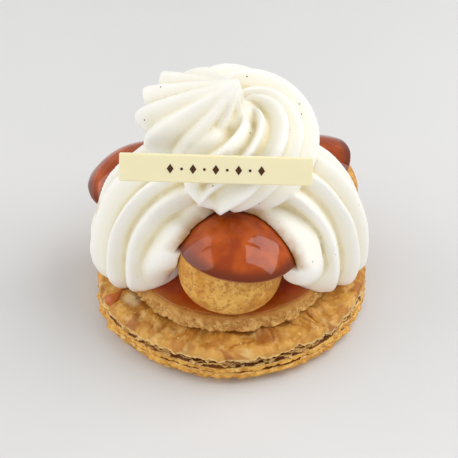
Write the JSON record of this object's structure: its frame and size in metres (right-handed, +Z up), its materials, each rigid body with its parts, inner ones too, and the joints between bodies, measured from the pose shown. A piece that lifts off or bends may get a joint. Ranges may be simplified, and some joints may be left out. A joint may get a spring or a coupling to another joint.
{
  "type": "saint-honore pastry",
  "caption": "Individual choux and puff pastry cake with caramel-dipped puffs, piped cream lobes and rosette, and a bare white chocolate bar.",
  "frame": {"origin": "middle of the pastry round's flat underside", "axes": "+Z up; -Y to the front, where a puff stands and the chocolate bar faces; +X to the cake's right as seen from the front"},
  "size_m": [0.0889, 0.0868, 0.0843],
  "materials": {
    "puff_pastry": "baked, flaky and matt",
    "choux": "baked, finely cracked and matt",
    "caramel": "set caramel, clear and very glossy",
    "whipped_cream": "smooth and softly satin",
    "white_chocolate": "satin"
  },
  "bodies": {
    "root": {"puff_pastry_base": "puff_pastry", "choux_disc": "choux", "puff_front": "choux", "puff_left": "choux", "puff_right": "choux", "caramel_front": "caramel", "caramel_left": "caramel", "caramel_right": "caramel", "whipped_cream": "whipped_cream", "chocolate_bar": "white_chocolate"}
  },
  "joints": []
}
